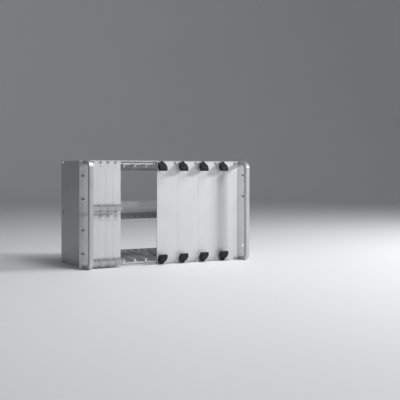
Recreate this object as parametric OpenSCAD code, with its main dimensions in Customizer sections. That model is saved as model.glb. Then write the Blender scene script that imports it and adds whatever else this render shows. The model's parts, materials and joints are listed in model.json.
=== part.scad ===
// Six-unit subrack card cage for 19 inch racks, part fitted with front panels.
// X runs to the right, the front faces -Y and Z is up. Lengths are in millimetres.
// Every module is drawn from the flange front face (y = 0) back to the cage rear.

/* [Rack grid] */
// One horizontal pitch, the grid that panels, screws and guides follow
hp = 5.08; // [5:0.01:5.2]
// Pitches taken by one narrow panel
narrow_hp = 4; // [4:1:6]
// Pitches of the bay that is left open
open_hp = 20; // [19:1:28]
// Pitches taken by one wide panel
wide_hp = 12; // [8:1:16]
// Height of the cage
cage_h = 265.9; // [255:0.1:280]
// Depth from the flange front to the cage rear
cage_d = 175; // [160:1:235]

/* [Side plates and flanges] */
// Thickness of a side plate
side_t = 2.5; // [1.5:0.1:3.5]
// Space from the panel grid to the inner face of a side plate
side_gap = 8.64; // [7:0.02:10]
// Thickness of a mounting flange
flange_t = 2.5; // [2:0.1:3.5]
// Width from the panel grid to the outer edge of a flange
flange_w = 27.94; // [26:0.01:32]
// Gap between the panel grid and the inner edge of a flange
flange_gap = 0.4; // [0.2:0.05:0.8]
// Depth of the flange leg that lies on the side plate
leg_d = 24; // [20:0.5:35]
// Width of a rack slot
slot_w = 6.8; // [6:0.1:7.2]
// Length of a rack slot
slot_l = 10.3; // [9:0.1:11]
// Distance from the flange outer edge to the slot centres
slot_inset = 8.75; // [8:0.05:9.5]
// Height between the two inner slots
slot_pitch_inner = 76.2; // [60:0.1:90]
// Height between the two outer slots
slot_pitch_outer = 190.5; // [150:0.1:200]
// Height of the flange screws above and below mid height
flange_screw_up = 66; // [50:1:80]
// Distance of the spare side hole from the cage rear
spare_hole_rear = 50; // [40:1:70]
// Height of the spare side hole above mid height
spare_hole_up = 67; // [40:1:90]
// Diameter of the spare side hole
spare_hole = 5; // [3:0.5:8]

/* [Front handles] */
// How far a handle reaches in front of its flange
handle_reach = 36.3; // [30:0.1:45]
// Width of the handle bar
handle_w = 10; // [8:0.5:12]
// Depth of the upright bar
handle_bar_d = 12; // [9:0.5:15]
// Thickness of a handle leg
handle_leg_t = 9; // [8:0.5:12]
// Outer radius of the handle corners
handle_r = 20; // [14:0.5:24]
// Distance from the flange outer edge to the middle of a handle
handle_inset = 17.2; // [16.5:0.1:18]
// Space left above and below a handle
handle_gap = 0.5; // [0.3:0.1:3]

/* [Front rails] */
// Height of the top and bottom front rails
rail_h = 9; // [8:0.1:11]
// Height of the middle rails
mid_rail_h = 18.7; // [17:0.1:22]
// Depth of the closed front part of a front rail
rail_box_d = 14.5; // [13:0.5:18]
// Depth of the web behind it
rail_web_d = 13; // [10:0.5:16]
// Wall of a rail web
rail_wall = 2; // [1.5:0.1:2.5]
// Thickness of the lip that the levers bear on
lip_t = 1.5; // [1:0.1:1.8]
// Depth of the screw mouth in the rail face
mouth_d = 1.5; // [1.2:0.1:2]
// Height of the screw mouth
mouth_h = 3.2; // [2.9:0.1:3.6]
// Distance from the rail face to the middle of the end bore
bore_back = 10.5; // [10:0.5:12]

/* [Rear rails] */
// Height of the upright of a top or bottom rear rail
rear_upright_h = 24.5; // [20:0.5:30]
// Height of the upright of the middle rear rail
mid_upright_h = 48.6; // [40:0.2:54]
// Thickness of a rear rail upright
upright_t = 3; // [2:0.1:4]
// Depth of the thinner edge step on an upright
step_d = 1.2; // [0.5:0.1:1.5]
// Height of that step
step_h = 8.5; // [6:0.5:10]
// Depth of a rear rail in all
rear_rail_d = 32; // [30:0.5:38]
// Depth of the solid block of a rear rail
rear_block_d = 13; // [11:0.5:15]
// Space between that block and the upright
rear_neck_d = 6; // [4:0.5:8]
// Height of the nose of the middle rear rail
mid_nose_h = 11.2; // [9:0.2:14]
// Depth of that nose
mid_nose_d = 2.5; // [1.5:0.5:4]
// Spacing of the backplane holes along an upright, in pitches
rear_hole_hp = 4; // [3:1:8]
// Diameter of a backplane hole
rear_hole = 3.3; // [2.5:0.1:4]
// Metal left between a rear peg slot and the solid block
slot_land = 0.8; // [0.6:0.1:1.2]

/* [Threaded strips] */
// Height of a threaded strip
strip_h = 4.4; // [4:0.1:4.6]
// Thickness of a threaded strip
strip_t = 2.6; // [2:0.1:3]
// First strip hole from the left end of the grid
strip_first = 2.37; // [2.2:0.01:2.6]
// Clearance round a strip in its slot
strip_clear = 0.1; // [0.05:0.01:0.2]
// Gap between a strip end and what the strip stops at
strip_end = 1; // [0.5:0.1:2]

/* [Divider] */
// Thickness of the divider plate
divider_t = 2; // [1.5:0.1:2.5]
// Width of its bent tabs
tab_w = 9; // [8:0.5:10]
// Depth of its bent tabs
tab_d = 12; // [10:0.5:14]
// Gap between the divider and the backs of the panels
divider_gap = 1; // [0.5:0.1:2]
// Clearance round the middle rear rail where it passes the divider
notch_clear = 0.4; // [0.2:0.1:0.6]

/* [Panels] */
// Thickness of every front panel
panel_t = 2.5; // [2:0.1:3]
// Space above and below a panel
panel_edge = 2.05; // [1.9:0.05:2.6]
// Gap between the two rows of narrow panels
row_gap = 5; // [4:0.1:6]
// Amount by which a panel is narrower than its pitches
panel_play = 0.3; // [0.1:0.05:0.5]
// Distance from a panel end to its screws
screw_inset = 3; // [2.8:0.05:3.2]
// Pitches from the first strip hole to the left screws
first_screw_hp = 1; // [1:1:2]
// Pitches between the screw columns of a wide panel
wide_screw_hp = 9; // [6:1:10]
// Diameter of the sight hole in a narrow panel
sight_hole = 2.2; // [1.5:0.1:3]
// Distance from the top of a narrow panel to its sight hole
sight_down = 13.5; // [11:0.5:20]

/* [Pull handles] */
// Width of a pull handle
pull_w = 19; // [17:0.1:19.6]
// Height of a pull handle
pull_h = 16.2; // [14:0.1:20]
// How far a pull handle stands out
pull_out = 14; // [11:0.5:18]
// Wall of a pull handle
pull_wall = 2.4; // [2:0.1:3]
// Height of its front lip
pull_lip_h = 9.5; // [7:0.5:11]
// Distance from the panel end to the pull handle
pull_up = 5.8; // [5.6:0.1:8]
// Height of its screw above the middle of the handle
pull_screw_up = 1.5; // [1:0.1:2.5]

/* [Levers] */
// Distance from the panel side to the middle of a lever
lever_in = 11.2; // [10.6:0.1:13]
// Width of the lever grip
grip_w = 20; // [18:0.1:20.6]
// Width of the lever between its ears
lever_w = 8; // [6:0.1:9]
// Side clearance of the lever between its ears
lever_side_clear = 0.2; // [0.1:0.05:0.3]
// Thickness of one ear
ear_t = 3.3; // [2.5:0.1:4]
// Distance of the lever pin in front of the panel
pin_out = 3.9; // [3.7:0.1:4.2]
// Height of the lever pin above the cage bottom
pin_up = 7.3; // [7.2:0.1:7.8]
// Diameter of the lever pin
pin_d = 2.4; // [2:0.1:2.6]
// Radial clearance of the pin in the lever
pin_clear = 0.05; // [0.02:0.01:0.1]
// Radial clearance of the pin in its ears
pin_ear_clear = 0.02; // [0.01:0.01:0.05]
// Radius of the lever hub
hub_r = 2.9; // [2.6:0.1:3]
// Outer radius of an ear
ear_r = 3.4; // [3.2:0.1:3.5]
// Reach of the lever nose below the pin
nose_r = 7; // [6.6:0.1:7]
// Height of the grip above the pin
grip_up = 18.6; // [16:0.1:22]
// Reach of the grip in front of the pin
grip_out = 14.5; // [13:0.1:17]
// Height of the grip's upright front face
grip_face_h = 7; // [5:0.2:8]
// Chamfer above and below that face
grip_chamfer = 2; // [1:0.1:3]
// Depth of the flat top of the grip
grip_top_d = 5.9; // [4:0.1:6]
// Height of the lever's heel above the pin
heel_up = 9.6; // [8:0.1:11]
// Gap between the heel and the bearing base
heel_gap = 0.4; // [0.3:0.1:0.6]
// Gap between the grip and the round ears
ear_gap = 0.5; // [0.3:0.1:0.8]
// Direction of the nose at rest, anticlockwise from the rear
nose_angle = 256; // [250:1:257]
// Thickness of the bearing base
bearing_t = 2.5; // [2:0.1:2.6]
// Height of the bearing base
bearing_h = 12.4; // [11.5:0.1:14]
// Distance of the bearing screw below the top of the base
bearing_screw_down = 2.4; // [2.3:0.1:2.6]
// Room above the hub in the bearing window
window_clear = 1; // [0.8:0.1:1.2]

/* [Card guides] */
// Width of a card guide
guide_w = 4.7; // [4.2:0.1:4.9]
// Height of a card guide
guide_h = 9.5; // [8.5:0.1:12]
// Width of the board groove
groove_w = 2; // [1.6:0.1:2.4]
// Depth of the board groove
groove_d = 2.6; // [2:0.1:3.5]
// Length of the widened mouth of the groove
mouth_l = 8; // [5:0.5:12]
// Wall beside the widest part of that mouth
mouth_wall = 0.6; // [0.4:0.1:1]
// Height that the guide is cut away below between the rails
guide_arch = 3; // [2:0.5:4]
// Length left uncut past each rail
arch_inset = 4; // [2:0.5:8]
// Gap between a guide end and the rear upright
guide_end_gap = 0.3; // [0.2:0.05:0.5]
// Distance of the guide front end behind the panels
guide_front = 3.5; // [2:0.5:6]
// Length of a guide peg
peg_l = 5.2; // [4:0.1:6]
// Width of a guide peg
peg_w = 2; // [1.6:0.1:2.4]
// Clearance round a peg in its slot
peg_clear = 0.15; // [0.1:0.05:0.3]
// Pitches between guides in the open bay
guide_step_hp = 6; // [4:1:6]
// Place of the first guide in the open bay, in pitches
guide_first_hp = 2.5; // [2.5:1:4.5]

/* [Screws] */
// Shank diameter of a panel screw
screw_d = 2.5; // [2:0.1:2.6]
// Head diameter of a panel screw
screw_head_d = 4.8; // [4.2:0.1:5]
// Head height of a panel screw
screw_head_h = 1.8; // [1.4:0.1:2.4]
// Length of a panel screw below its head
screw_l = 6.5; // [6:0.1:6.7]
// Shank diameter of the frame screws
frame_screw_d = 4; // [3:0.1:4.2]
// Head diameter of the frame screws
frame_head_d = 7; // [6:0.1:7.6]
// Head height of the frame screws
frame_head_h = 2.2; // [1.8:0.1:2.8]
// Length of a frame screw inside a rail or leg
frame_screw_in = 10; // [8:0.5:14]
// Radial clearance round a screw shank in a plate
screw_clear = 0.15; // [0.1:0.05:0.3]
// Radial clearance round a screw in its thread
thread_clear = 0.04; // [0.02:0.01:0.06]
// Width of a screwdriver slot
driver_w = 0.8; // [0.6:0.1:1]
// Depth of the countersinks in the backs of the panels
sink_h = 1.1; // [0.9:0.1:1.3]
// Plastic left past the end of a screw from behind a panel
screw_end = 0.3; // [0.2:0.1:0.5]
// Length of a handle bore past the end of its screw
bore_run = 1.5; // [1:0.1:3]

/* [Hidden] */
$fn = 48;
narrow_count = 4;
wide_count = 4;
tiny = 0.01;
bay_w = hp * (narrow_count * narrow_hp + open_hp + wide_count * wide_hp);
bay_x = -bay_w / 2;
open_x = bay_x + narrow_count * narrow_hp * hp;
wide_x = open_x + open_hp * hp;
side_in = bay_w / 2 + side_gap;
side_out = side_in + side_t;
flange_out = bay_w / 2 + flange_w;
front_y = -(cage_d - handle_reach) / 2;
mid_z = cage_h / 2;
panel_back = panel_t;
rail_y = flange_t;
rail_d = rail_box_d + rail_web_d;
slot_z = panel_edge + screw_inset;
mid_slot_z = row_gap / 2 + screw_inset;
bore_y = rail_y + bore_back;
bore_z = rail_h / 2;
web_slot_y = rail_y + rail_box_d + rail_web_d / 2;
upright_y = cage_d - upright_t;
rear_y = cage_d - rear_rail_d;
block_y = upright_y - rear_neck_d - rear_block_d;
rear_bore_y = block_y + rear_block_d / 2;
rear_slot_y = block_y - slot_land - peg_l / 2 - 2 * peg_clear;
wide_h = cage_h - 2 * panel_edge;
narrow_h = (wide_h - row_gap) / 2;
lower_z = panel_edge;
upper_z = mid_z + row_gap / 2;
first_screw = strip_first + first_screw_hp * hp;
strip_y = rail_y + mouth_d + strip_clear;
handle_x = flange_out - handle_inset;
handle_leg_z = handle_gap + handle_leg_t / 2;
divider_x = open_x;
tab_screw_x = divider_x + divider_t / 2 + tab_w / 2;
pull_x = narrow_hp * hp / 2;
pull_screw_z = pull_up + pull_h / 2 + pull_screw_up;
bearing_w = lever_w + 2 * lever_side_clear + 2 * ear_t;
bearing_z = pin_up - ear_r;
bearing_screw_z = bearing_z + bearing_h - bearing_screw_down;
window_top = pin_up + hub_r + window_clear;
heel_y = pin_out - bearing_t - heel_gap;
guide_y0 = panel_back + guide_front;
guide_y1 = upright_y - guide_end_gap;
rack_z = [mid_z - slot_pitch_outer / 2, mid_z - slot_pitch_inner / 2,
          mid_z + slot_pitch_inner / 2, mid_z + slot_pitch_outer / 2];
flange_screw_z = [mid_z - flange_screw_up, mid_z + flange_screw_up];
ROWS = ["upper", "lower"];

// ---- placing ----
// Puts a sub-part drawn from the flange front into the cage frame
module placed() { translate([0, front_y, 0]) children(); }
// Turns a sub-part drawn at the bottom into the one at the top
module at_top() { translate([0, 0, cage_h]) mirror([0, 0, 1]) children(); }
// Draws a sub-part at the bottom and again at the top
module both_ends() { children(); at_top() children(); }
// Turns a sub-part drawn on the right into the one on the left
module on_left() { mirror([1, 0, 0]) children(); }
// Extrudes a profile in depth and height along the width, from x0 for a length
module along_x(x0, length) { translate([x0, 0, 0]) rotate([90, 0, 90]) linear_extrude(length) children(); }
// A round bar along the depth, from y0 for a length
module rod_y(x, y0, z, d, length) {
  translate([x, y0, z]) rotate([-90, 0, 0]) cylinder(d = d, h = length);
}
// A round bar along the width, from x0 for a length
module rod_x(x0, y, z, d, length) {
  translate([x0, y, z]) rotate([0, 90, 0]) cylinder(d = d, h = length);
}
// Left side of a narrow or wide panel's pitches, counted from 0
function narrow_left(i) = bay_x + i * narrow_hp * hp;
function wide_left(i) = wide_x + i * wide_hp * hp;
function lever_x(i) = wide_left(i) + panel_play / 2 + lever_in;
function row_z(row) = row == "upper" ? upper_z : lower_z;

// ---- side plates and flanges ----
module side_plate() {
  color("#b9bcc0")
  difference() {
    translate([side_in, flange_t, 0]) cube([side_t, cage_d - flange_t, cage_h]);
    both_ends() {
      rod_x(side_in - 1, bore_y, bore_z, frame_screw_d + 2 * screw_clear, side_t + 2);
      rod_x(side_in - 1, rear_bore_y, bore_z, frame_screw_d + 2 * screw_clear, side_t + 2);
    }
    for (y = [bore_y, rear_bore_y])
      rod_x(side_in - 1, y, mid_z, frame_screw_d + 2 * screw_clear, side_t + 2);
    for (z = flange_screw_z) rod_x(side_in - 1, bore_y, z, frame_screw_d + 2 * thread_clear, side_t + 2);
    rod_x(side_in - 1, cage_d - spare_hole_rear, mid_z + spare_hole_up, spare_hole, side_t + 2);
  }
}
module rack_slot(z) {
  translate([flange_out - slot_inset, -1, z]) rotate([-90, 0, 0]) linear_extrude(flange_t + 2) {
    square([slot_l - slot_w, slot_w], center = true);
    for (s = [-1, 1]) translate([s * (slot_l - slot_w) / 2, 0]) circle(d = slot_w);
  }
}
module mounting_flange() {
  front_in = bay_w / 2 + flange_gap;
  color("#c9ccd0")
  difference() {
    union() {
      translate([front_in, 0, 0]) cube([flange_out - front_in, flange_t, cage_h]);
      translate([side_out, flange_t - tiny, 0]) cube([side_t, leg_d + tiny, cage_h]);
    }
    for (z = rack_z) rack_slot(z);
    for (z = concat([bore_z, cage_h - bore_z, mid_z], flange_screw_z))
      rod_x(side_out - 1, bore_y, z, frame_screw_d + 2 * screw_clear, side_t + 2);
    both_ends() translate([handle_x, flange_t + tiny, handle_leg_z]) rotate([90, 0, 0]) {
      cylinder(d = frame_screw_d + 2 * screw_clear, h = flange_t + 2);
      cylinder(d1 = frame_head_d + 2 * screw_clear, d2 = frame_screw_d + 2 * screw_clear,
               h = (frame_head_d - frame_screw_d) / 2);
    }
  }
}

// ---- front handles ----
// Outline in depth and height: a bow with round corners, legs back to the flange
module handle_outline() {
  h = cage_h - 2 * handle_gap;
  inner_r = handle_r - handle_leg_t;
  difference() {
    union() {
      translate([-handle_reach + handle_r, handle_gap]) square([handle_reach - handle_r, h]);
      translate([-handle_reach, handle_gap + handle_r]) square([handle_r + 1, h - 2 * handle_r]);
      for (z = [handle_gap + handle_r, handle_gap + h - handle_r])
        translate([-handle_reach + handle_r, z]) circle(r = handle_r, $fn = 96);
    }
    square([handle_reach, cage_h]);
    translate([-handle_reach + handle_bar_d + inner_r, handle_gap + handle_leg_t])
      square([handle_reach, h - 2 * handle_leg_t]);
    translate([-handle_reach + handle_bar_d, handle_gap + handle_leg_t + inner_r])
      square([handle_reach, h - 2 * handle_leg_t - 2 * inner_r]);
    for (z = [handle_gap + handle_leg_t + inner_r, handle_gap + h - handle_leg_t - inner_r])
      translate([-handle_reach + handle_bar_d + inner_r, z]) circle(r = inner_r, $fn = 96);
  }
}
module front_handle() {
  color("#c4c7ca")
  difference() {
    along_x(handle_x - handle_w / 2, handle_w) handle_outline();
    both_ends() rod_y(handle_x, -frame_screw_in - bore_run, handle_leg_z,
                      frame_screw_d + 2 * thread_clear, frame_screw_in + bore_run + 1);
  }
}

// ---- front rails ----
// Slot in the rail face that holds the threaded strip, with its narrower mouth
module strip_slot(z) {
  translate([rail_y - 1, z - mouth_h / 2]) square([mouth_d + 1 + tiny, mouth_h]);
  translate([rail_y + mouth_d, z - strip_h / 2 - strip_clear])
    square([strip_t + 2 * strip_clear, strip_h + 2 * strip_clear]);
}
module front_rail_profile() {
  difference() {
    translate([rail_y, 0]) square([rail_d, rail_h]);
    strip_slot(slot_z);
    translate([bore_y, bore_z]) circle(d = frame_screw_d + 2 * thread_clear);
    translate([rail_y + rail_box_d, -1]) square([rail_web_d - rail_wall, rail_h - rail_wall + 1]);
    translate([rail_y + rail_box_d, -1]) square([rail_web_d + 1, rail_h / 2 + 1]);
  }
}
module mid_front_profile() {
  difference() {
    translate([rail_y, mid_z - mid_rail_h / 2]) square([rail_d, mid_rail_h]);
    for (s = [-1, 1]) strip_slot(mid_z + s * mid_slot_z);
    translate([bore_y, mid_z]) circle(d = frame_screw_d + 2 * thread_clear);
    translate([rail_y + rail_box_d, mid_z - mid_rail_h / 2 + rail_wall])
      square([rail_web_d + 1, mid_rail_h - 2 * rail_wall]);
  }
}
// Slots that the guide pegs drop into, one for every second pitch
module web_slots(x0, count, y, z, height) {
  for (i = [0 : count - 1])
    translate([x0 + (2 * i + 0.5) * hp - peg_w / 2 - peg_clear, y - peg_l / 2 - peg_clear, z])
      cube([peg_w + 2 * peg_clear, peg_l + 2 * peg_clear, height]);
}
module front_rail() {
  color("#aeb1b5")
  difference() {
    union() {
      along_x(-side_in, 2 * side_in) front_rail_profile();
      translate([-bay_w / 2, flange_t - panel_t, 0]) cube([bay_w, panel_t + tiny, lip_t]);
    }
    web_slots(bay_x, floor(bay_w / hp / 2), web_slot_y, rail_h - rail_wall - 1, rail_wall + 2);
    translate([tab_screw_x, web_slot_y, rail_h - rail_wall - 1])
      cylinder(d = screw_d + 2 * thread_clear, h = rail_wall + 2);
  }
}
module front_rail_mid() {
  color("#aeb1b5")
  difference() {
    along_x(-side_in, side_in + divider_x - divider_t / 2) mid_front_profile();
    web_slots(bay_x, narrow_count * floor(narrow_hp / 2), web_slot_y,
              mid_z - mid_rail_h / 2 - 1, mid_rail_h + 2);
  }
}

// ---- rear rails ----
module rear_rail_profile() {
  difference() {
    union() {
      translate([rear_y, rail_h - rail_wall]) square([rear_rail_d, rail_wall]);
      translate([rear_y, rail_h / 2]) square([rail_wall, rail_h / 2]);
      translate([block_y, 0]) square([rear_block_d, rail_h]);
      translate([upright_y, 0]) square([upright_t, rear_upright_h]);
    }
    translate([upright_y - 1, rear_upright_h - step_h]) square([step_d + 1, step_h + 1]);
    translate([rear_bore_y, bore_z]) circle(d = frame_screw_d + 2 * thread_clear);
  }
}
module mid_rear_profile() {
  difference() {
    union() {
      translate([rear_y + mid_nose_d, -mid_rail_h / 2])
        square([block_y + rear_block_d - rear_y - mid_nose_d, mid_rail_h]);
      translate([rear_y, -mid_nose_h / 2]) square([rear_rail_d - tiny, mid_nose_h]);
      translate([upright_y, -mid_upright_h / 2]) square([upright_t, mid_upright_h]);
    }
    for (s = [0, 1]) mirror([0, s]) {
      translate([upright_y - 1, mid_upright_h / 2 - step_h]) square([step_d + 1, step_h + 1]);
      translate([rear_y + mid_nose_d + rail_wall, rail_wall])
        square([block_y - rear_y - mid_nose_d - rail_wall, mid_rail_h / 2 - 2 * rail_wall]);
    }
    translate([rear_bore_y, 0]) circle(d = frame_screw_d + 2 * thread_clear);
  }
}
module backplane_holes(z) {
  count = floor(bay_w / (rear_hole_hp * hp));
  for (i = [0 : count - 1])
    rod_y(bay_x + (i + 0.5) * rear_hole_hp * hp, upright_y - 1, z, rear_hole, upright_t + 2);
}
module rear_rail() {
  color("#b4b7ba")
  difference() {
    along_x(-side_in, 2 * side_in) rear_rail_profile();
    web_slots(bay_x, floor(bay_w / hp / 2), rear_slot_y, rail_h - rail_wall - 1, rail_wall + 2);
    backplane_holes(rear_upright_h - step_h / 2);
  }
}
module rear_rail_mid() {
  color("#b4b7ba")
  translate([0, 0, mid_z])
  difference() {
    along_x(-side_in, 2 * side_in) mid_rear_profile();
    for (z = [-mid_rail_h / 2 - 1, mid_rail_h / 2 - rail_wall - 0.5])
      web_slots(bay_x, narrow_count * floor(narrow_hp / 2), rear_slot_y, z, rail_wall + 1.5);
    for (s = [-1, 1]) backplane_holes(s * (mid_upright_h - step_h) / 2);
  }
}

// ---- threaded strips ----
module threaded_strip(x0, length, z) {
  color("#8f9296")
  translate([0, strip_y + strip_t, z]) rotate([90, 0, 0]) linear_extrude(strip_t) difference() {
    translate([x0, -strip_h / 2]) square([length, strip_h]);
    for (x = [bay_x + strip_first : hp : x0 + length - hp / 3])
      translate([x, 0]) circle(d = screw_d + 2 * thread_clear, $fn = 24);
  }
}
module threaded_strips_mid() {
  for (s = [-1, 1])
    threaded_strip(-side_in + strip_end, side_in + divider_x - divider_t / 2 - 2 * strip_end,
                   mid_z + s * mid_slot_z);
}

// ---- divider ----
module divider_plate() {
  tab_y = web_slot_y - tab_d / 2;
  divider_y = panel_back + divider_gap;
  color("#b0b3b7")
  difference() {
    union() {
      translate([divider_x - divider_t / 2, divider_y, rail_h])
        cube([divider_t, upright_y - guide_end_gap - divider_y, cage_h - 2 * rail_h]);
      both_ends() translate([divider_x, tab_y, rail_h]) cube([divider_t / 2 + tab_w, tab_d, divider_t]);
    }
    translate([divider_x - divider_t, rear_y - notch_clear, mid_z - mid_rail_h / 2 - notch_clear])
      cube([2 * divider_t, rear_rail_d, mid_rail_h + 2 * notch_clear]);
    rod_x(divider_x - divider_t, bore_y, mid_z, frame_screw_d + 2 * screw_clear, 2 * divider_t);
    both_ends() translate([tab_screw_x, web_slot_y, rail_h - 1])
      cylinder(d = screw_d + 2 * screw_clear, h = divider_t + 2);
  }
}

// ---- panels ----
// A front panel with its own outline, ready to be drilled
module panel_blank(left, pitches, z, height) {
  translate([left + panel_play / 2, 0, z]) cube([pitches * hp - panel_play, panel_t, height]);
}
module narrow_panel(left, z) {
  color("#dcdee1")
  difference() {
    panel_blank(left, narrow_hp, z, narrow_h);
    for (dz = [screw_inset, narrow_h - screw_inset])
      rod_y(left + first_screw, -1, z + dz, screw_d + 2 * screw_clear, panel_t + 2);
    rod_y(left + first_screw, -1, z + narrow_h - sight_down, sight_hole, panel_t + 2);
    translate([left + pull_x, panel_t + tiny, z + pull_screw_z]) rotate([90, 0, 0]) {
      cylinder(d = screw_d + 2 * screw_clear, h = panel_t + 2);
      cylinder(d1 = screw_head_d, d2 = screw_d + 2 * screw_clear, h = sink_h);
    }
  }
}
module wide_panel(left) {
  color("#d6d8dc")
  difference() {
    panel_blank(left, wide_hp, panel_edge, wide_h);
    both_ends() {
      rod_y(left + first_screw + wide_screw_hp * hp, -1, slot_z, screw_d + 2 * screw_clear, panel_t + 2);
      translate([left + panel_play / 2 + lever_in, panel_t + tiny, bearing_screw_z]) rotate([90, 0, 0]) {
        cylinder(d = screw_d + 2 * screw_clear, h = panel_t + 2);
        cylinder(d1 = screw_head_d, d2 = screw_d + 2 * screw_clear, h = sink_h);
      }
    }
  }
}

// ---- pull handles ----
// Outline in depth and height: a plate on the panel, a shelf and an upturned lip
module pull_outline() {
  lip_r = pull_wall / 2;
  translate([-pull_wall, 0]) square([pull_wall, pull_h]);
  translate([-pull_out + lip_r, 0]) square([pull_out - lip_r, pull_wall]);
  translate([-pull_out, lip_r]) square([pull_wall, pull_lip_h - 2 * lip_r]);
  for (z = [lip_r, pull_lip_h - lip_r]) translate([-pull_out + lip_r, z]) circle(r = lip_r);
}
module pull_handle(left, z) {
  color("#a9acb0")
  difference() {
    translate([0, 0, z + pull_up]) along_x(left + pull_x - pull_w / 2, pull_w) pull_outline();
    rod_y(left + pull_x, -pull_wall - 1, z + pull_screw_z, screw_d + 2 * thread_clear, pull_wall + 2);
  }
}

// ---- levers ----
// Outlines round the pin, for a bottom lever: y is negative to the front
module grip_outline() {
  face_y = -grip_out;
  face_top = grip_up - grip_chamfer;
  face_low = face_top - grip_face_h + grip_chamfer;
  polygon([[0, 0], [-ear_r - 2 * ear_gap, 0],
           [face_y + grip_chamfer / 3, face_low - 1.2 * grip_chamfer], [face_y, face_low],
           [face_y, face_top], [face_y + grip_chamfer, grip_up],
           [face_y + grip_chamfer + grip_top_d, grip_up], [heel_y, heel_up], [heel_y, ear_r]]);
}
// A point at a radius and an angle round the pin
function round_pin(r, a) = [r * cos(a), r * sin(a)];
module nose_outline() {
  polygon([[0, 0], round_pin(hub_r, nose_angle - 55), round_pin(0.96 * nose_r, nose_angle - 12.5),
           round_pin(nose_r, nose_angle - 7), round_pin(nose_r, nose_angle),
           round_pin(0.87 * nose_r, nose_angle + 5.5), round_pin(hub_r, nose_angle + 50)]);
}
module lever_grip_outline() {
  difference() {
    grip_outline();
    circle(r = ear_r + ear_gap);
  }
}
module lever_core_outline() {
  difference() {
    union() {
      circle(r = hub_r);
      nose_outline();
      intersection() {
        grip_outline();
        circle(r = ear_r + 2 * ear_gap);
      }
    }
    circle(r = pin_d / 2 + pin_clear);
  }
}
module lever(i) {
  color("#2b2c2f")
  translate([lever_x(i), -pin_out, pin_up]) {
    along_x(-grip_w / 2, grip_w) lever_grip_outline();
    along_x(-lever_w / 2, lever_w) lever_core_outline();
  }
}
module lever_bearing(i) {
  inner = lever_w / 2 + lever_side_clear;
  color("#232427")
  translate([lever_x(i), 0, 0])
  difference() {
    union() {
      translate([-bearing_w / 2, -bearing_t, bearing_z]) cube([bearing_w, bearing_t, bearing_h]);
      along_x(-bearing_w / 2, bearing_w) {
        translate([-pin_out, pin_up]) circle(r = ear_r);
        translate([-pin_out, pin_up - ear_r]) square([pin_out, 2 * ear_r]);
      }
    }
    translate([-inner, -pin_out - ear_r - 1, bearing_z - 1])
      cube([2 * inner, pin_out + ear_r + 2, window_top - bearing_z + 1]);
    rod_x(-bearing_w, -pin_out, pin_up, pin_d + 2 * pin_ear_clear, 2 * bearing_w);
    rod_y(0, -bearing_t - 1, bearing_screw_z, screw_d + 2 * thread_clear, bearing_t + 2);
  }
}
module lever_pins() {
  color("#9da0a4")
  for (i = [0 : wide_count - 1])
    both_ends() rod_x(lever_x(i) - bearing_w / 2, -pin_out, pin_up, pin_d, bearing_w);
}

// ---- card guides ----
// A guide that stands on z = 0 with its groove along the top
module card_guide() {
  seat_front = rail_y + rail_d - guide_y0;
  seat_rear = guide_y1 - rear_y;
  color("#8d9094")
  difference() {
    union() {
      translate([-guide_w / 2, guide_y0, 0]) cube([guide_w, guide_y1 - guide_y0, guide_h]);
      for (y = [web_slot_y, rear_slot_y])
        translate([-peg_w / 2, y - peg_l / 2, -rail_wall]) cube([peg_w, peg_l, rail_wall + 1]);
    }
    translate([-guide_w, guide_y0 + seat_front + arch_inset, -1])
      cube([2 * guide_w, guide_y1 - guide_y0 - seat_front - seat_rear - 2 * arch_inset, guide_arch + 1]);
    translate([-groove_w / 2, guide_y0 - 1, guide_h - groove_d])
      cube([groove_w, guide_y1 - guide_y0 + 2, groove_d + 1]);
    translate([0, 0, guide_h - groove_d]) linear_extrude(groove_d + 1)
      polygon([[mouth_wall - guide_w / 2, guide_y0 - tiny], [guide_w / 2 - mouth_wall, guide_y0 - tiny],
               [groove_w / 2, guide_y0 + mouth_l], [-groove_w / 2, guide_y0 + mouth_l]]);
  }
}
module guide_pair(x, low, high) {
  translate([x, 0, low]) card_guide();
  translate([x, 0, high]) mirror([0, 0, 1]) card_guide();
}
module card_guides_6u() {
  for (i = [0 : wide_count - 1])
    guide_pair(wide_left(i) + hp / 2, rail_h, cage_h - rail_h);
  for (p = [guide_first_hp : guide_step_hp : open_hp - 1])
    guide_pair(open_x + p * hp, rail_h, cage_h - rail_h);
}
module card_guides_3u(low, high) {
  for (i = [0 : narrow_count - 1]) guide_pair(narrow_left(i) + hp / 2, low, high);
}

// ---- screws ----
// Slotted cheese-head screw along +Y with its head in front of y = 0
module panel_screw(x, z) {
  difference() {
    union() {
      rod_y(x, -screw_head_h, z, screw_head_d, screw_head_h);
      rod_y(x, -tiny, z, screw_d, screw_l);
    }
    translate([x - screw_head_d, -screw_head_h - 1, z - driver_w / 2])
      cube([2 * screw_head_d, 1 + screw_head_h / 2, driver_w]);
  }
}
module panel_screws() {
  color("#c3c6c9") {
    for (i = [0 : narrow_count - 1], row = ROWS, dz = [screw_inset, narrow_h - screw_inset])
      panel_screw(narrow_left(i) + first_screw, row_z(row) + dz);
    for (i = [0 : wide_count - 1])
      both_ends() panel_screw(wide_left(i) + first_screw + wide_screw_hp * hp, slot_z);
  }
}
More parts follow.
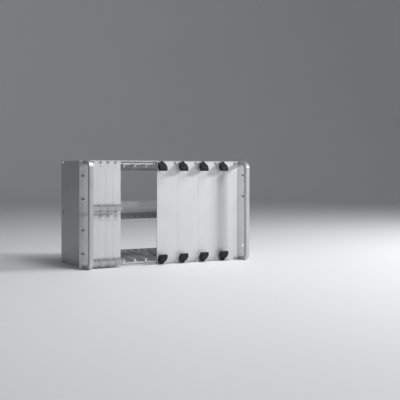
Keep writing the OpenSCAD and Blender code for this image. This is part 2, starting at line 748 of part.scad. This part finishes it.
// Round-head frame screw along -X with its head outside x = at
module frame_screw(at, y, z, inward) {
  difference() {
    union() {
      rod_x(at, y, z, frame_head_d, frame_head_h);
      rod_x(at - inward, y, z, frame_screw_d, inward + tiny);
    }
    translate([at + frame_head_h / 2, y - frame_head_d, z - driver_w / 2])
      cube([frame_head_h, 2 * frame_head_d, driver_w]);
  }
}
module rail_screws_right() {
  both_ends() {
    frame_screw(side_out + side_t, bore_y, bore_z, 2 * side_t + frame_screw_in);
    frame_screw(side_out, rear_bore_y, bore_z, side_t + frame_screw_in);
  }
  frame_screw(side_out, rear_bore_y, mid_z, side_t + frame_screw_in);
}
module rail_screws() {
  color("#b7babd") {
    rail_screws_right();
    on_left() rail_screws_right();
    on_left() frame_screw(side_out + side_t, bore_y, mid_z, 2 * side_t + frame_screw_in);
  }
}
module flange_screws() {
  color("#b7babd") for (z = flange_screw_z) {
    frame_screw(side_out + side_t, bore_y, z, 2 * side_t);
    on_left() frame_screw(side_out + side_t, bore_y, z, 2 * side_t);
  }
}
module handle_screw() {
  translate([handle_x, flange_t, handle_leg_z]) rotate([90, 0, 0]) {
    cylinder(d1 = frame_head_d, d2 = frame_screw_d, h = (frame_head_d - frame_screw_d) / 2);
    cylinder(d = frame_screw_d, h = flange_t + frame_screw_in);
  }
}
module handle_screws() {
  color("#b7babd") both_ends() { handle_screw(); on_left() handle_screw(); }
}
module divider_screws() {
  color("#b7babd") {
    frame_screw(divider_x + divider_t / 2, bore_y, mid_z, divider_t + frame_screw_in);
    both_ends() translate([tab_screw_x, web_slot_y, rail_h]) {
      translate([0, 0, -rail_wall]) cylinder(d = screw_d, h = rail_wall + divider_t + tiny);
      translate([0, 0, divider_t]) cylinder(d = screw_head_d, h = screw_head_h);
    }
  }
}
// Countersunk screw from behind a panel, along -Y
module rear_screw(x, z, depth) {
  translate([x, panel_t, z]) rotate([90, 0, 0]) {
    cylinder(d1 = screw_head_d - 2 * screw_clear, d2 = screw_d, h = sink_h);
    cylinder(d = screw_d, h = panel_t + depth);
  }
}
module pull_handle_screws() {
  color("#b7babd")
  for (i = [0 : narrow_count - 1], row = ROWS)
    rear_screw(narrow_left(i) + pull_x, row_z(row) + pull_screw_z, pull_wall - screw_end);
}
module bearing_screws() {
  color("#b7babd")
  for (i = [0 : wide_count - 1]) both_ends() rear_screw(lever_x(i), bearing_screw_z, bearing_t - screw_end);
}

placed() on_left() side_plate();  // side_plate_left
placed() side_plate();  // side_plate_right
placed() on_left() mounting_flange();  // mounting_flange_left
placed() mounting_flange();  // mounting_flange_right
placed() on_left() front_handle();  // front_handle_left
placed() front_handle();  // front_handle_right
placed() at_top() front_rail();  // front_rail_top
placed() front_rail();  // front_rail_bottom
placed() front_rail_mid();
placed() at_top() rear_rail();  // rear_rail_top
placed() rear_rail();  // rear_rail_bottom
placed() rear_rail_mid();
placed() at_top() threaded_strip(strip_end - side_in, 2 * (side_in - strip_end), slot_z);  // threaded_strip_top
placed() threaded_strip(strip_end - side_in, 2 * (side_in - strip_end), slot_z);  // threaded_strip_bottom
placed() threaded_strips_mid();
placed() divider_plate();
placed() narrow_panel(narrow_left(0), upper_z);  // panel_3u_upper_1
placed() narrow_panel(narrow_left(1), upper_z);  // panel_3u_upper_2
placed() narrow_panel(narrow_left(2), upper_z);  // panel_3u_upper_3
placed() narrow_panel(narrow_left(3), upper_z);  // panel_3u_upper_4
placed() narrow_panel(narrow_left(0), lower_z);  // panel_3u_lower_1
placed() narrow_panel(narrow_left(1), lower_z);  // panel_3u_lower_2
placed() narrow_panel(narrow_left(2), lower_z);  // panel_3u_lower_3
placed() narrow_panel(narrow_left(3), lower_z);  // panel_3u_lower_4
placed() pull_handle(narrow_left(0), upper_z);  // pull_handle_upper_1
placed() pull_handle(narrow_left(1), upper_z);  // pull_handle_upper_2
placed() pull_handle(narrow_left(2), upper_z);  // pull_handle_upper_3
placed() pull_handle(narrow_left(3), upper_z);  // pull_handle_upper_4
placed() pull_handle(narrow_left(0), lower_z);  // pull_handle_lower_1
placed() pull_handle(narrow_left(1), lower_z);  // pull_handle_lower_2
placed() pull_handle(narrow_left(2), lower_z);  // pull_handle_lower_3
placed() pull_handle(narrow_left(3), lower_z);  // pull_handle_lower_4
placed() wide_panel(wide_left(0));  // panel_6u_1
placed() wide_panel(wide_left(1));  // panel_6u_2
placed() wide_panel(wide_left(2));  // panel_6u_3
placed() wide_panel(wide_left(3));  // panel_6u_4
placed() at_top() lever(0);  // lever_top_1
placed() at_top() lever(1);  // lever_top_2
placed() at_top() lever(2);  // lever_top_3
placed() at_top() lever(3);  // lever_top_4
placed() lever(0);  // lever_bottom_1
placed() lever(1);  // lever_bottom_2
placed() lever(2);  // lever_bottom_3
placed() lever(3);  // lever_bottom_4
placed() at_top() for (i = [0 : wide_count - 1]) lever_bearing(i);  // lever_bearings_top
placed() for (i = [0 : wide_count - 1]) lever_bearing(i);  // lever_bearings_bottom
placed() lever_pins();
placed() card_guides_6u();
placed() card_guides_3u(mid_z + mid_rail_h / 2, cage_h - rail_h);  // card_guides_3u_upper
placed() card_guides_3u(rail_h, mid_z - mid_rail_h / 2);  // card_guides_3u_lower
placed() panel_screws();
placed() rail_screws();
placed() flange_screws();
placed() handle_screws();
placed() divider_screws();
placed() pull_handle_screws();
placed() bearing_screws();
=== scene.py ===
# Looks for a six-unit subrack card cage: materials, small details, floor, lights and camera.
# The cage's own solids come from the frame. X is right, the front faces -Y, Z is up, all in metres.
import json
import math

import bmesh
import bpy
import numpy as np
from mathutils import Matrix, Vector


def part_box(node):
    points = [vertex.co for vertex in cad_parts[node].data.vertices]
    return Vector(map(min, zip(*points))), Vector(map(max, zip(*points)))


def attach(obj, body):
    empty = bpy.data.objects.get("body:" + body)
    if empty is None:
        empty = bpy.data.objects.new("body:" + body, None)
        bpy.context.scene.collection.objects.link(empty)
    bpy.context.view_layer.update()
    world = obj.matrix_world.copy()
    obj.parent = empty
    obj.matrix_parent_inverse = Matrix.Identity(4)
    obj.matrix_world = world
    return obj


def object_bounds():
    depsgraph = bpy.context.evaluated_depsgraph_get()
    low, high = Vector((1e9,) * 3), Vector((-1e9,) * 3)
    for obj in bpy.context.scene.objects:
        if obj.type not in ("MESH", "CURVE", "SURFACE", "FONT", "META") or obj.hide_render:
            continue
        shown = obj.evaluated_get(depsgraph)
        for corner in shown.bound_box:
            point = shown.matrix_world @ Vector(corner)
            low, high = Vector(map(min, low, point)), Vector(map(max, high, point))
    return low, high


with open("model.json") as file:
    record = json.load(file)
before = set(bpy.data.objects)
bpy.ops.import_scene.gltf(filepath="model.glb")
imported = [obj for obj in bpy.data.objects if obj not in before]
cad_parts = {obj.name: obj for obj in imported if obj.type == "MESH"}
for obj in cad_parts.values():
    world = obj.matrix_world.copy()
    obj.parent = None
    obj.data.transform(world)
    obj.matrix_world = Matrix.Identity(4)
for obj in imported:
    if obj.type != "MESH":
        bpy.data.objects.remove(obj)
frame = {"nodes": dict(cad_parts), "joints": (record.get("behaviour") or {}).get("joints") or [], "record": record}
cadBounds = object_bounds()
nodes = frame["nodes"]
joints = {joint["child"]: joint for joint in frame["joints"]}
scene = bpy.context.scene
millimetre = 0.001
pitch = 5.08 * millimetre
mergeDistance = 0.001 * millimetre


# Shader maths
class Wire:
    # One socket of a graph, so that node maths reads as plain arithmetic
    def __init__(self, graph, socket):
        self.graph = graph
        self.socket = socket

    def math(self, operation, *others, **settings):
        return self.graph.node("Math", (self, *others), operation=operation, **settings)

    def __add__(self, other):
        return self.math("ADD", other)

    def __sub__(self, other):
        return self.math("SUBTRACT", other)

    def __mul__(self, other):
        return self.math("MULTIPLY", other)

    def __rsub__(self, other):
        return self.math("MULTIPLY", -1.0) + other

    __radd__ = __add__

    def clamped(self):
        return self.math("ADD", 0.0, use_clamp=True)


rounding = {"samples": 4, "contrast": 6.0}
noiseMiddle = 0.5


class Graph:
    # A material whose surface is one Principled shader
    def __init__(self, name):
        self.material = bpy.data.materials.new(name)
        self.material.use_nodes = True
        self.tree = self.material.node_tree
        self.surface = self.tree.nodes["Principled BSDF"]
        self.place = self.node("TexCoord", output="Object")

    # Makes any node; values is a list or a dictionary of its inputs
    def node(self, kind, values=(), output=0, **settings):
        made = self.tree.nodes.new("ShaderNode" + kind)
        for key, value in settings.items():
            setattr(made, key, value)
        for key, value in values.items() if isinstance(values, dict) else enumerate(values):
            self.fill(made.inputs[key], value)
        return Wire(self, made.outputs[output])

    def fill(self, socket, value):
        if isinstance(value, Wire):
            self.tree.links.new(value.socket, socket)
        else:
            socket.default_value = value

    def mix(self, factor, low, high):
        return self.node("Mix", {0: factor, 6: low, 7: high}, 2, data_type="RGBA")

    def scaled(self, vector, scale):
        return self.node("VectorMath", (vector, scale), operation="MULTIPLY")

    # Noise between 0 and 1 whose grain has its own length along each axis, in metres
    def grain(self, lengths, detail=3.0, roughness=0.55):
        vector = self.scaled(self.place, [1 / length for length in lengths])
        values = {"Vector": vector, "Scale": 1.0, "Detail": detail, "Roughness": roughness}
        return self.node("TexNoise", values, "Fac")

    # How far a point lies on a rounded edge: 0 on a flat face, 1 on the edge; it masks the edge wear and the
    # painted edge highlight
    def edge(self, radius):
        rounded = self.node("Bevel", {"Radius": radius}, samples=rounding["samples"])
        flat = self.node("NewGeometry", output="Normal")
        both = self.node("VectorMath", (rounded, flat), "Value", operation="DOT_PRODUCT")
        return rounded, ((1.0 - both) * rounding["contrast"]).clamped()

    def bump(self, height, distance, normal):
        return self.node("Bump", {"Height": height, "Distance": distance, "Strength": 1.0, "Normal": normal})

    def finish(self, **inputs):
        for key, value in inputs.items():
            self.fill(self.surface.inputs[key.replace("_", " ")], value)
        return self.material


def shade(colour, factor):
    return [min(1.0, channel * factor) for channel in colour] + [1.0]


# Shade factors, shares and spreads that all the metals have in common; the edge factor paints rubbed wear and a
# painted highlight on the edges
metal = {"dull": 0.93, "clean": 1.05, "scratched": 0.88, "rubbed": 1.22, "scratchShare": 0.6,
         "rubbedShare": 0.5, "speck": 0.0006, "speckShare": 0.5, "smudgeRough": 0.14, "grainRough": 0.16}


# Anodised metal: a directional grain, soft smudges, and bright edges that are partly rubbed wear and partly a
# painted highlight
def metalMaterial(name, look):
    graph = Graph(name)
    fine = graph.grain(look["grain"])
    smudge = graph.grain([look["smudge"]] * 3, 4.0)
    speck = graph.grain([metal["speck"]] * 3, 2.0)
    rounded, wearAndHighlightMask = graph.edge(look["edge"])
    base = graph.mix(smudge, shade(look["colour"], metal["dull"]), shade(look["colour"], metal["clean"]))
    grained = graph.mix(fine * metal["scratchShare"], base, shade(look["colour"], metal["scratched"]))
    # Edges are brightened: partly rubbed wear, partly a painted highlight along every rounded edge
    colour = graph.mix(wearAndHighlightMask * metal["rubbedShare"], grained, shade(look["colour"], metal["rubbed"]))
    smudged = look["rough"] + (smudge - noiseMiddle) * metal["smudgeRough"]
    rough = smudged + (fine - noiseMiddle) * metal["grainRough"]
    height = fine + speck * metal["speckShare"]
    return graph.finish(Base_Color=colour, Roughness=rough, Metallic=look["metallic"],
                        Normal=graph.bump(height, look["relief"], rounded))


# The same for the plastics; flow marks have their own length along each axis
plastic = {"flow": (0.018, 0.012, 0.03), "dull": 0.88, "clean": 1.12, "edgeShare": 0.4,
           "flowRough": 0.18, "sparkRough": 0.1}


# Moulded plastic: fine spark texture, faint flow marks, and paler edges that are partly wear and partly a painted
# highlight
def plasticMaterial(name, look):
    graph = Graph(name)
    spark = graph.grain([look["spark"]] * 3, 2.0)
    flow = graph.grain(plastic["flow"])
    rounded, wearAndHighlightMask = graph.edge(look["edge"])
    base = graph.mix(flow, shade(look["colour"], plastic["dull"]), shade(look["colour"], plastic["clean"]))
    # Edges are paled: partly wear, partly a painted highlight along every rounded edge
    colour = graph.mix(wearAndHighlightMask * plastic["edgeShare"], base, shade(look["colour"], look["paler"]))
    flowing = look["rough"] + (flow - noiseMiddle) * plastic["flowRough"]
    rough = flowing + (spark - noiseMiddle) * plastic["sparkRough"]
    return graph.finish(Base_Color=colour, Roughness=rough, Specular_IOR_Level=look["gloss"],
                        Normal=graph.bump(spark, look["relief"], rounded))


metalLooks = {
    "anodised_aluminium": {"colour": (0.50, 0.51, 0.53), "grain": (0.0004, 0.03, 0.0005), "smudge": 0.06,
                           "edge": 0.0004, "rough": 0.42, "metallic": 0.75, "relief": 0.00002},
    "handle_aluminium": {"colour": (0.62, 0.63, 0.645), "grain": (0.0005, 0.0005, 0.04), "smudge": 0.03,
                         "edge": 0.0006, "rough": 0.38, "metallic": 0.8, "relief": 0.00002},
    "rail_aluminium": {"colour": (0.68, 0.69, 0.705), "grain": (0.06, 0.0005, 0.0005), "smudge": 0.05,
                       "edge": 0.0003, "rough": 0.45, "metallic": 0.55, "relief": 0.00002},
    "panel_aluminium": {"colour": (0.70, 0.71, 0.727), "grain": (0.0004, 0.0006, 0.04), "smudge": 0.05,
                        "edge": 0.0003, "rough": 0.48, "metallic": 0.6, "relief": 0.000015},
    "zinc_steel": {"colour": (0.60, 0.61, 0.62), "grain": (0.0007, 0.0007, 0.0007), "smudge": 0.004,
                   "edge": 0.0002, "rough": 0.30, "metallic": 0.95, "relief": 0.00001},
}
plasticLooks = {
    "grey_plastic": {"colour": (0.36, 0.37, 0.385), "spark": 0.0005, "edge": 0.0004,
                     "rough": 0.48, "paler": 1.35, "gloss": 0.5, "relief": 0.00003},
    "black_plastic": {"colour": (0.010, 0.0105, 0.012), "spark": 0.0005, "edge": 0.0004,
                      "rough": 0.5, "paler": 3.0, "gloss": 0.3, "relief": 0.00003},
}
plasticLooks["guide_plastic"] = dict(plasticLooks["grey_plastic"], colour=(0.52, 0.53, 0.54))
materials = {name: metalMaterial(name, look) for name, look in metalLooks.items()}
materials.update({name: plasticMaterial(name, look) for name, look in plasticLooks.items()})
slotOf = {part["node"]: part["material_slot"] for part in frame["record"]["subparts"]}
slotOf.update({name: "guide_plastic" for name in nodes if name.startswith("card_guides")})
for name, piece in nodes.items():
    for place in piece.material_slots:
        place.material = materials[slotOf[name]]
print("materials:", len(materials), "on", len(nodes), "nodes")


# Surfaces
# The four-sided faces of a grid of points[i, j], closed along either direction
def gridFaces(rows, columns, closedRows, closedColumns):
    spans = np.arange(rows - (not closedRows)), np.arange(columns - (not closedColumns))
    i, j = np.meshgrid(*spans, indexing="ij")
    nextRow, nextColumn = (i + 1) % rows, (j + 1) % columns
    corners = [(i, j), (i, nextColumn), (nextRow, nextColumn), (nextRow, j)]
    return np.stack([row * columns + column for row, column in corners], -1).reshape(-1, 4)


# An object in the scene from points and four-sided faces
def meshObject(name, points, faces, material, smooth=True):
    mesh = bpy.data.meshes.new(name)
    mesh.from_pydata(points.reshape(-1, 3).tolist(), [], faces.tolist())
    mesh.polygons.foreach_set("use_smooth", np.full(len(faces), smooth))
    mesh.materials.append(material)
    made = bpy.data.objects.new(name, mesh)
    scene.collection.objects.link(made)
    return made


# One piece from several grids of the same shape; doubles are merged and faces turned outwards
def makePiece(name, grids, body, slot, closedRows=True, closedColumns=False, smooth=True):
    points = np.concatenate([grid.reshape(-1, 3) for grid in grids])
    rows, columns = grids[0].shape[:2]
    faces = gridFaces(rows, columns, closedRows, closedColumns)
    faces = np.concatenate([faces + n * rows * columns for n in range(len(grids))])
    piece = meshObject(name, points, faces, materials[slot], smooth)
    merged = bmesh.new()
    merged.from_mesh(piece.data)
    bmesh.ops.remove_doubles(merged, verts=merged.verts, dist=mergeDistance)
    bmesh.ops.recalc_face_normals(merged, faces=merged.faces)
    merged.to_mesh(piece.data)
    merged.free()
    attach(piece, body)


# Collars round the panel screws
# A ring of elliptical section: radius = ring + width cos b, height = depth (1 + sin b)
collar = {"ring": 2.72 * millimetre, "width": 0.3 * millimetre, "depth": 0.35 * millimetre,
          "around": 40, "section": 10}


def collarGrid(centre):
    a = np.linspace(0, 2 * np.pi, collar["around"], endpoint=False)[:, None]
    b = np.linspace(0, 2 * np.pi, collar["section"], endpoint=False)[None, :]
    radius = collar["ring"] + collar["width"] * np.cos(b)
    x = centre.x + radius * np.cos(a)
    y = centre.y - collar["depth"] * (1 + np.sin(b)) + 0 * a
    z = centre.z + radius * np.sin(a)
    return np.stack([x, y, z], -1)


panelScrew = {"inset": 3 * millimetre, "fromLeft": 7.3 * millimetre, "wideStep": 9 * pitch}


def panelScrewPlaces():
    places = []
    for name in sorted(nodes):
        if name.startswith("panel_") and name != "panel_screws":
            low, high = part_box(name)
            step = panelScrew["wideStep"] if name.startswith("panel_6u") else 0
            x = low.x + panelScrew["fromLeft"] + step
            heights = (low.z + panelScrew["inset"], high.z - panelScrew["inset"])
            places += [Vector((x, low.y, z)) for z in heights]
    return places


screwPlaces = panelScrewPlaces()
collars = [collarGrid(place) for place in screwPlaces]
makePiece("screwCollars", collars, "frame", "grey_plastic", closedColumns=True)
print("screw collars:", len(screwPlaces))

# Ribs on the lever grips
# Each rib runs along X: radius = thick (1 - t^6), t from -1 at its left end to 1 at its right end
rib = {"length": 17 * millimetre, "thick": 0.45 * millimetre, "around": 12, "along": 17,
       "out": 14.35 * millimetre, "lowest": 11.8 * millimetre, "step": 1.4 * millimetre, "count": 4}


def ribGrid(pin, up, height):
    a = np.linspace(0, 2 * np.pi, rib["around"], endpoint=False)[:, None]
    t = np.linspace(-1, 1, rib["along"])[None, :]
    radius = rib["thick"] * (1 - t ** 6)
    x = pin[0] + t * rib["length"] / 2 + 0 * a
    y = pin[1] - rib["out"] + radius * np.cos(a)
    z = pin[2] + up * (height + radius * np.sin(a))
    return np.stack([x, y, z], -1)


ribHeights = rib["lowest"] + rib["step"] * np.arange(rib["count"])
for body, joint in joints.items():
    up = joint["axis"][0]
    grids = [ribGrid(joint["pos_m"], up, height) for height in ribHeights]
    makePiece(body.replace("_body", "") + "_ribs", grids, body, "black_plastic")
print("ribbed levers:", len(joints))

# Toothed washers under the side screws
# A flat ring whose rim waves: outer radius = rim + tooth cos(teeth a), lifted by lift cos(teeth a)
washer = {"hole": 3.55 * millimetre, "rim": 4.1 * millimetre, "tooth": 0.25 * millimetre, "teeth": 14,
          "lift": 0.08 * millimetre, "thick": 0.3 * millimetre, "around": 112}
sideScrew = {"frontBehindLip": 13 * millimetre, "rearBeforeBack": 15.5 * millimetre,
             "fromEnd": 4.5 * millimetre, "flangeFromMiddle": 66 * millimetre}


def washerGrid(place, outward):
    a = np.linspace(0, 2 * np.pi, washer["around"], endpoint=False)
    wave = np.cos(washer["teeth"] * a)
    rim = washer["rim"] + washer["tooth"] * wave
    lift = washer["lift"] * (1 + wave)
    radius = np.stack([washer["hole"] + 0 * a, rim, rim, washer["hole"] + 0 * a], -1)
    height = np.stack([0 * a, lift, lift + washer["thick"], washer["thick"] + 0 * a], -1)
    x = place[0] + outward * height
    y = place[1] + radius * np.cos(a)[:, None]
    z = place[2] + radius * np.sin(a)[:, None]
    return np.stack([x, y, z], -1)


def sideScrewGrids():
    grids = []
    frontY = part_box("front_rail_top")[0].y + sideScrew["frontBehindLip"]
    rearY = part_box("rear_rail_top")[1].y - sideScrew["rearBeforeBack"]
    for side, outward in (("left", -1), ("right", 1)):
        low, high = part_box("side_plate_" + side)
        middle = (low.z + high.z) / 2
        plateFace = max(abs(low.x), abs(high.x))
        legFace = plateFace + (high.x - low.x)
        ends = [low.z + sideScrew["fromEnd"], high.z - sideScrew["fromEnd"]]
        front = ends + [middle - sideScrew["flangeFromMiddle"], middle + sideScrew["flangeFromMiddle"]]
        if side == "left":
            front.append(middle)
        grids += [washerGrid((outward * legFace, frontY, z), outward) for z in front]
        grids += [washerGrid((outward * plateFace, rearY, z), outward) for z in ends + [middle]]
    return grids


washers = sideScrewGrids()
makePiece("toothedWashers", washers, "frame", "zinc_steel", closedColumns=True, smooth=False)
print("toothed washers:", len(washers))

# Threads in the strips of the open bay
# A helix: angle a, height pitch a / 2 pi, with a triangular ridge that fades out at both ends
thread = {"radius": 1.29 * millimetre, "ridge": 0.2 * millimetre, "pitch": 0.45 * millimetre, "turns": 5,
          "stepsPerTurn": 14, "fade": 0.08, "flank": 0.42, "start": 0.4}
stripHole = {"first": 2.37 * millimetre, "count": 84, "panelPlay": 0.15 * millimetre,
             "pastPanel": 2 * millimetre}


def threadGrid(x, low, z):
    t = np.linspace(0, 1, thread["turns"] * thread["stepsPerTurn"] + 1)
    a = 2 * np.pi * thread["turns"] * t
    fade = np.clip(np.minimum(t, 1 - t) / thread["fade"], 0, 1)
    inner = thread["radius"] - thread["ridge"] * fade
    half = thread["pitch"] * thread["flank"] * fade
    radius = np.stack([thread["radius"] + 0 * t, inner, thread["radius"] + 0 * t], -1)
    middle = low + thread["pitch"] * (thread["start"] + thread["turns"] * t)
    along = np.stack([-half, 0 * t, half], -1) + middle[:, None]
    return np.stack([x + radius * np.cos(a)[:, None], along, z + radius * np.sin(a)[:, None]], -1)


def stripThreads():
    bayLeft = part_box("panel_3u_lower_1")[0].x - stripHole["panelPlay"]
    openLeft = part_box("panel_3u_lower_4")[1].x
    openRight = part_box("panel_6u_1")[0].x
    first = bayLeft + stripHole["first"]
    places = first + pitch * np.arange(stripHole["count"])
    places = places[(places > openLeft + stripHole["pastPanel"]) & (places < openRight)]
    grids = []
    for name in ("threaded_strip_bottom", "threaded_strip_top"):
        low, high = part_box(name)
        grids += [threadGrid(x, low.y, (low.z + high.z) / 2) for x in places]
    return grids


threads = stripThreads()
makePiece("stripThreads", threads, "frame", "zinc_steel", closedRows=False, closedColumns=True)
print("strip threads:", len(threads))

# Floor
# A round sweep: flat to the bend, a quarter circle up, then a low wall
sweep = {"centre": 0.001, "flat": 4.5, "bend": 2.0, "wall": 3.0, "around": 96, "steps": 24, "below": 0.0002}
paper = {"cloud": 0.5, "dark": (0.74, 0.74, 0.745), "pale": (0.77, 0.77, 0.775), "rough": 0.6,
         "roughSpread": 0.1}


def sweepGrid():
    a = np.linspace(0, 2 * np.pi, sweep["around"], endpoint=False)[:, None]
    turn = np.linspace(0, np.pi / 2, sweep["steps"])
    bent = sweep["flat"] + sweep["bend"] * np.sin(turn)
    risen = sweep["bend"] * (1 - np.cos(turn))
    radius = np.concatenate([[sweep["centre"]], bent, [sweep["flat"] + sweep["bend"]]])
    height = np.concatenate([[0], risen, [sweep["bend"] + sweep["wall"]]])
    return np.stack([radius * np.cos(a), radius * np.sin(a), height - sweep["below"] + 0 * a], -1)


def floorMaterial():
    graph = Graph("floorPaper")
    cloud = graph.grain([paper["cloud"]] * 3, 2.0)
    colour = graph.mix(cloud, shade(paper["dark"], 1.0), shade(paper["pale"], 1.0))
    return graph.finish(Base_Color=colour, Roughness=paper["rough"] + cloud * paper["roughSpread"])


def makeFloor():
    grid = sweepGrid()
    faces = gridFaces(grid.shape[0], grid.shape[1], True, False)
    meshObject("floor", grid, faces, floorMaterial())


makeFloor()

# Lights
centre = (cadBounds[0] + cadBounds[1]) / 2
lamps = {
    "keyLight": {"towards": (2.15, -1.0, 0.97), "distance": 2.6, "size": 0.38, "power": 58},
    "topLight": {"towards": (0.15, -0.62, 1.2), "distance": 2.2, "size": 0.7, "power": 24},
    "frontLight": {"towards": (0.5, -1.0, 0.35), "distance": 3.0, "size": 1.6, "power": 2},
}
for name, lamp in lamps.items():
    light = bpy.data.lights.new(name, "AREA")
    light.size = lamp["size"]
    light.energy = lamp["power"]
    holder = bpy.data.objects.new(name, light)
    towards = Vector(lamp["towards"]).normalized()
    holder.location = centre + towards * lamp["distance"]
    holder.rotation_euler = towards.to_track_quat("Z", "Y").to_euler()
    scene.collection.objects.link(holder)
room = {"colour": (0.9, 0.93, 1.0, 1.0), "strength": 0.2}
world = bpy.data.worlds.new("softRoom")
world.use_nodes = True
background = world.node_tree.nodes["Background"].inputs
background["Color"].default_value = room["colour"]
background["Strength"].default_value = room["strength"]
scene.world = world
scene.view_settings.view_transform = "Standard"

# Camera
view = {"location": (-0.92782, -1.86480, 0.23416), "turn": -29.708, "lens": 70.256, "sensor": 36,
        "shift": -0.067}
camera = bpy.data.objects.new("camera", bpy.data.cameras.new("camera"))
camera.location = view["location"]
camera.rotation_euler = (math.pi / 2, 0, math.radians(view["turn"]))
camera.data.lens = view["lens"]
camera.data.sensor_width = view["sensor"]
camera.data.shift_y = view["shift"]
scene.collection.objects.link(camera)
scene.camera = camera
print("floor, lights and camera ready")
